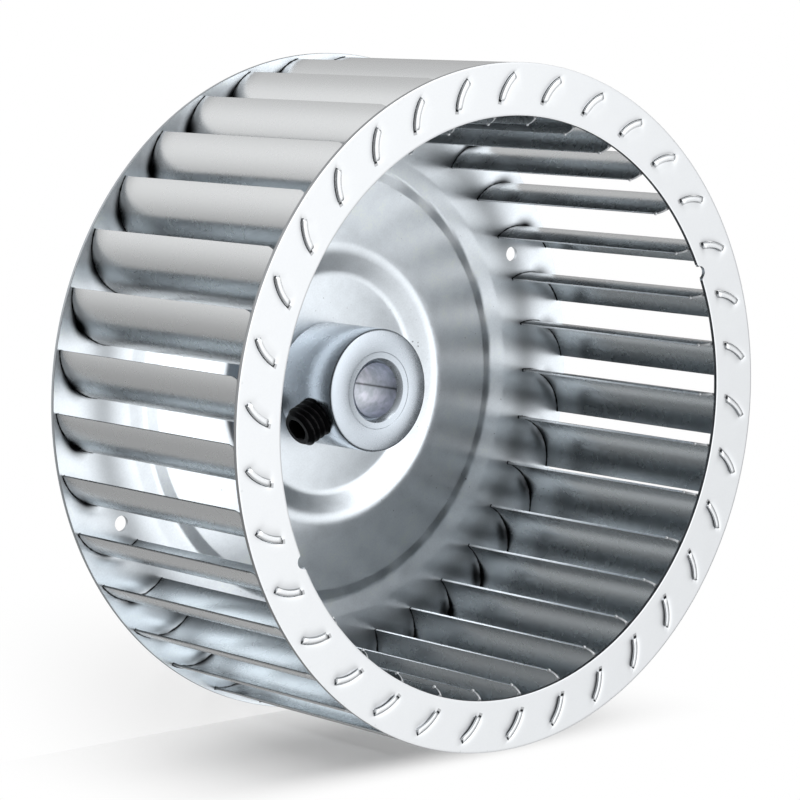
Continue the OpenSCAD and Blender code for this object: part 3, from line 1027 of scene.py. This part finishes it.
def blade_material():
    look, metal = sizes(), finish()
    skin = ZincSkin("blade zinc", 0.05, 0.08, 0.008 * MM)
    across, along, _, height, chance = skin.beside_blade()
    first, last = blade_ends()
    arc, ring = BladeArc(), mm(RING_LOW.z)
    foot = height - mm(PLATE_TOP)
    # Painted shade: a jagged dark line along the foot, a smudge of contact shade rising from it that reaches highest
    # near the tab, and a soft shade above it.
    jag = (skin.noise(skin.own, 700) - 0.5) * 0.4
    line = (foot + jag).step(0.40, 0.22) * 0.97
    spread_up = along.hump(-0.6, 2.3) * 2.6 + 0.35
    contact_shade = (foot / spread_up).step(1.5, 0.1) * (chance * 0.5 + 0.75)
    soft = foot.hump(-0.2, 2.4) * 0.38
    # Painted shade: a dark band just below the ring.
    under_ring_shade = height.hump(ring, 0.13) * 0.7
    # Painted shade: the outer edge is painted darker.
    outer_edge_shade = along.step(last + 0.06, last + 0.02) * 0.55
    # Painted shade: the hollow side takes the darker copy of the zinc.
    sides = skin.blend(across.step(-0.05, 0.05), metal.inside, metal.outside)
    # Painted shade: the hollow side is painted darker near the inner edge.
    inner_third_shade = along.step(first - 6.5, first - 1.0) * across.step(0.05, -0.05) * 0.42
    tone = skin.shade(skin.blend(inner_third_shade, sides, metal.shade_and_grime), skin.tone)
    # Painted highlight: the inner sheared edge, the cut faces of the inner corner and the two burrs are painted
    # near-white and made rougher.
    inner_edge_highlight = along.step(first - 0.09, first - 0.03)
    burrs = ((first, mm(look.corner - BURR_UP)), (mm(arc.length(arc.at(look.eye))), mm(BURR_DOWN)))
    burr_glint = skin.most(*(skin.hypot(along - spot, height - (ring - drop)).step(0.45, 0.38) for spot, drop in burrs))
    lean = abs(skin.outs("SeparateXYZ", {"Vector": skin.out("True Normal", "NewGeometry")})[2])
    corner_highlight = lean.step(0.12, 0.3) * height.step(ring - 3.0, ring - 2.6) * along.step(first - 4.0, first - 3.6)
    tone = skin.blend(skin.most(inner_edge_highlight, corner_highlight, burr_glint), tone, metal.cut)
    ring_top, plate_under = mm(RING_HIGH.z), mm(PLATE_UNDER)
    tabs = skin.most(height.step(ring_top - 0.2, ring_top - 0.1), height.step(plate_under + 0.2, plate_under + 0.1))
    tone = skin.blend(tabs, tone, skin.shade(metal.ring, skin.tone))
    dark = skin.most(line, contact_shade, soft, under_ring_shade, outer_edge_shade) * (1.0 - tabs)
    return skin.marked(dark, tone, skin.most(burr_glint, corner_highlight) * 0.4 + metal.blade_gloss)


def hub_material():
    look, metal = sizes(), finish()
    skin = Skin("hub plating")
    radius, height = skin.beside_blade()[2:4]
    x, y = skin.outs("SeparateXYZ", {"Vector": skin.own})[:2]
    bore_r, hub, top, seat = mm(look.bore), mm(look.hub), mm(HUB_HIGH.z), mm(PLATE_TOP + look.disc_rise)
    bore = radius.step(bore_r + 0.06, bore_r + 0.02)
    seam = bore * skin.math("ARCTAN2", y, x).hump(BORE_SEAM, 0.028) * 0.75
    cloud = skin.noise(skin.own, 260, 3.0, 0.6)
    marks = skin.noise(skin.out(0, "CombineXYZ", {"X": radius, "Y": height * 0.35}), 9.0, 2.0, 0.7)
    # Painted shade: a dark line round the outer top edge and a dark band at the foot where the hub meets the plate.
    rim = radius.hump(hub - 0.12, 0.10) * height.step(top - 0.8, top - 0.4) * 0.5
    foot = height.step(seat + 0.35, seat) * 0.6
    tone = (marks - 0.5) * 0.10 + ((cloud - 0.5) * 0.18 + 1.0)
    # Partly painted light: the bore takes the brighter, bluer copy of the plating in patches.
    base = skin.shade(skin.blend(bore * cloud.step(0.3, 0.7), metal.plating, metal.tint_and_sheen), tone)
    base = skin.blend(skin.most(seam, rim, foot), base, metal.shade_and_grime)
    gloss = (cloud - 0.5) * 0.12 + (bore * 0.14 + metal.hub_gloss)
    return skin.finished(base, gloss, marks, 0.25, 0.02 * MM)


def screw_material():
    look, metal = sizes(), finish()
    skin = Skin("black oxide", 0.0)
    y, z = skin.outs("SeparateXYZ", {"Vector": skin.own})[1:]
    crest = (skin.hypot(z - SCREW_Z, y) * mm(1)).step(mm(look.screw) - 0.16, mm(look.screw) - 0.02)
    worn = crest * skin.noise(skin.own, 900).step(0.42, 0.62)
    grain = skin.noise(skin.own, 1600)
    skin.set(Specular_IOR_Level=0.07)
    base = skin.blend(worn, metal.black, metal.bare)
    return skin.finished(base, grain * 0.2 + (metal.screw_gloss - 0.1), grain, 0.3, 0.03 * MM)


# The studio

# Soft glows in the air: azimuth and elevation in degrees, and brightness
GLOWS = (
    (0, 89, 0.91), (15, 50, 1.00), (60, 50, 0.44), (240, 50, 0.14), (285, 50, 0.58), (330, 50, 0.16), (240, 8, 0.25),
    (15, -40, 0.50), (60, -40, 0.35), (105, -40, 0.95), (150, -40, 0.58), (195, -40, 0.17), (240, -40, 0.30),
    (285, -40, 0.30),
)
GLOW_FOCUS = 6.0
WHITE = (1, 1, 1)
PLANE_GREY = (0.88, 0.88, 0.88)
PLANE_HALF = 3.0
PLANE_GAP = 0.1 * MM
# The backdrop's shadow fades along it, from the middle to the start and the end, and at the bottom and top
FADE_MIDDLE, FADE_START, FADE_END = 0.012, 0.008, 0.088
FADE_BELOW, FADE_BELOW_RING, FADE_ABOVE_RING = 0.034, 0.016, 0.004

# The key lamp: azimuth and elevation, distance and width
LAMP_AZIMUTH, LAMP_ELEVATION = math.radians(50), math.radians(45)
LAMP_DISTANCE, LAMP_WIDTH = 0.9, 0.35


def direction(azimuth, elevation=0.0):
    """Unit vector from the wheel towards a lamp or camera."""
    return Vector((
        math.cos(azimuth) * math.cos(elevation), math.sin(azimuth) * math.cos(elevation), math.sin(elevation)
    ))


class WHEEL_OT_build_stage(bpy.types.Operator):
    """Lay the floor, hang the lamp and set the camera"""

    bl_idname = "wheel.build_stage"
    bl_label = "Build the stage"

    def execute(self, context):
        self.floor()
        self.backdrop()
        self.world()
        self.lamp()
        self.camera()
        context.scene.view_settings.view_transform = "Standard"
        return {"FINISHED"}

    def plane(self):
        bm = bmesh.new()
        bmesh.ops.create_grid(bm, x_segments=1, y_segments=1, size=PLANE_HALF)
        return bm

    def pale(self, name, shade, near):
        """White to the camera, with a share of its shading close to the wheel, and clear to reflections."""
        skin = Skin(name, 0.0)
        skin.set(Base_Color=PLANE_GREY, Roughness=0.9, Specular_IOR_Level=0.0)
        shaded = Flow(skin, skin.shader.outputs["BSDF"])
        white = (1.0 - near(skin) * shade) * skin.out("Is Camera Ray", "LightPath")
        seen = skin.either(white, shaded, skin.out(0, "Emission"))
        clear = skin.out(0, "BsdfTransparent")
        mixed = skin.either(skin.out("Is Glossy Ray", "LightPath"), seen, clear)
        skin.join(mixed, skin.surface)
        return skin, mixed, clear

    def near_axis(self, skin):
        """1 behind the plate's lowest part and 0 further out on the floor."""
        gap = skin.vector("DISTANCE", skin.own, (0.0, 0.0, FLOOR_Z))
        below = skin.vector("DOT_PRODUCT", skin.own, direction(studio().upright + math.pi))
        return gap.step(PLATE_R * 1.5, PLATE_R) * below.step(PLATE_R * 0.5, PLATE_R)

    def near_rim(self, skin):
        """1 where the rim all but touches the backdrop and 0 further along it."""
        sideways = skin.vector("DOT_PRODUCT", skin.own, direction(studio().upright + math.pi / 2))
        height = skin.outs("SeparateXYZ", {"Vector": skin.own})[2]
        low = height.step(0.0, FADE_BELOW) * 0.5 + 0.5
        top = height.step(RING_HIGH.z + FADE_ABOVE_RING, RING_LOW.z - FADE_BELOW_RING)
        return abs(sideways - FADE_MIDDLE).step(FADE_END, FADE_START) * low * top

    def floor(self):
        bm = self.plane()
        bm.transform(Matrix.Translation((0, 0, FLOOR_Z - PLANE_GAP)))
        skin = self.pale("pale floor", studio().floor_shade, self.near_axis)[0]
        placed("floor", bm, skin.material)

    def backdrop(self):
        """A pale plane beside the rim. It is seen only from the wheel's side, and lets all light through."""
        up = direction(studio().upright)
        bm = self.plane()
        rotate = up.to_track_quat("Z", "Y").to_matrix().to_4x4()
        bm.transform(Matrix.Translation(-up * (PLATE_R + PLANE_GAP)) @ rotate)
        bmesh.ops.bisect_plane(
            bm, geom=bm.verts[:] + bm.edges[:] + bm.faces[:], plane_co=(0, 0, FLOOR_Z), plane_no=(0, 0, -1),
            clear_outer=True
        )
        skin, mixed, clear = self.pale("pale backdrop", studio().drop_shade, self.near_rim)
        front = 1.0 - skin.out("Backfacing", "NewGeometry")
        skin.join(skin.either(front * skin.out("Is Camera Ray", "LightPath"), clear, mixed), skin.surface)
        placed("backdrop", bm, skin.material)

    def glow(self, wires, way, towards, brightness):
        """Glow of the air in one direction."""
        facing = wires.math("MAXIMUM", wires.vector("DOT_PRODUCT", way, towards), 0.0)
        return {"Glow": wires.math("POWER", facing, GLOW_FOCUS) * brightness}

    def world(self):
        """Air that glows softly in a few directions, and looks white to the camera."""
        world = bpy.data.worlds.new("studio air")
        bpy.context.scene.world = world
        world.use_nodes = True
        wires = Wires(world.node_tree)
        way = wires.out("Generated", "TexCoord")
        tree = group("soft glow", {"Way": "Vector", "Towards": "Vector", "Brightness": "Float"}, self.glow)
        total = studio().air
        for azimuth, elevation, brightness in GLOWS:
            towards = direction(math.radians(azimuth), math.radians(elevation))
            inputs = {"Way": way, "Towards": towards, "Brightness": brightness}
            total = wires.out("Glow", "Group", inputs, node_tree=tree) + total
        camera_ray = wires.out("Is Camera Ray", "LightPath")
        air = wires.tree.nodes["Background"]
        wires.join(WHITE, air.inputs["Color"])
        wires.join(wires.out("Result", "Mix", {"Factor": camera_ray, "A": total, "B": 1}), air.inputs["Strength"])

    def aimed(self, name, data, back, distance, roll=0.0):
        """Puts a lamp or camera at this distance from the point aimed at, and looks back at it."""
        made = bpy.data.objects.new(name, data)
        made.location = Vector(studio().aim) + back * distance
        made.rotation_mode = "QUATERNION"
        upright = (-back).to_track_quat("-Z", "Y")
        made.rotation_quaternion = upright @ Matrix.Rotation(roll, 4, "Z").to_quaternion()
        bpy.context.scene.collection.objects.link(made)
        return made

    def lamp(self):
        data = bpy.data.lights.new("key lamp", "AREA")
        data.shape = "DISK"
        data.size = LAMP_WIDTH
        data.energy = studio().lamp_power
        self.aimed("key lamp", data, direction(LAMP_AZIMUTH, LAMP_ELEVATION), LAMP_DISTANCE)

    def camera(self):
        look = studio()
        data = bpy.data.cameras.new("camera")
        data.sensor_width = 36.0
        data.lens = look.lens
        back = direction(look.azimuth, look.elevation)
        bpy.context.scene.camera = self.aimed("camera", data, back, look.distance, look.roll)


class WHEEL_PT_panel(bpy.types.Panel):
    """Lists the steps that dress the wheel"""

    bl_idname = "WHEEL_PT_panel"
    bl_label = "Blower Wheel"
    bl_space_type = "VIEW_3D"
    bl_region_type = "UI"
    bl_category = "Blower Wheel"

    def draw(self, context):
        for operator in OPERATORS:
            self.layout.operator(operator.bl_idname)


OPERATORS = (
    WHEEL_OT_build_stage, WHEEL_OT_form_ring, WHEEL_OT_form_plate, WHEEL_OT_form_blades, WHEEL_OT_turn_hub,
    WHEEL_OT_cut_screw,
)
CLASSES = (WheelSizes, WheelFinish, WheelStudio, *OPERATORS, WHEEL_PT_panel)


def register():
    for item in CLASSES:
        bpy.utils.register_class(item)
    bpy.types.Scene.wheel_sizes = PointerProperty(type=WheelSizes)
    bpy.types.Scene.wheel_finish = PointerProperty(type=WheelFinish)
    bpy.types.Scene.wheel_studio = PointerProperty(type=WheelStudio)


def unregister():
    del bpy.types.Scene.wheel_studio
    del bpy.types.Scene.wheel_finish
    del bpy.types.Scene.wheel_sizes
    for item in reversed(CLASSES):
        bpy.utils.unregister_class(item)


def main():
    register()
    bpy.ops.wheel.build_stage()
    bpy.ops.wheel.form_ring()
    bpy.ops.wheel.form_plate()
    bpy.ops.wheel.form_blades()
    bpy.ops.wheel.turn_hub()
    bpy.ops.wheel.cut_screw()


if __name__ == "__main__":
    main()
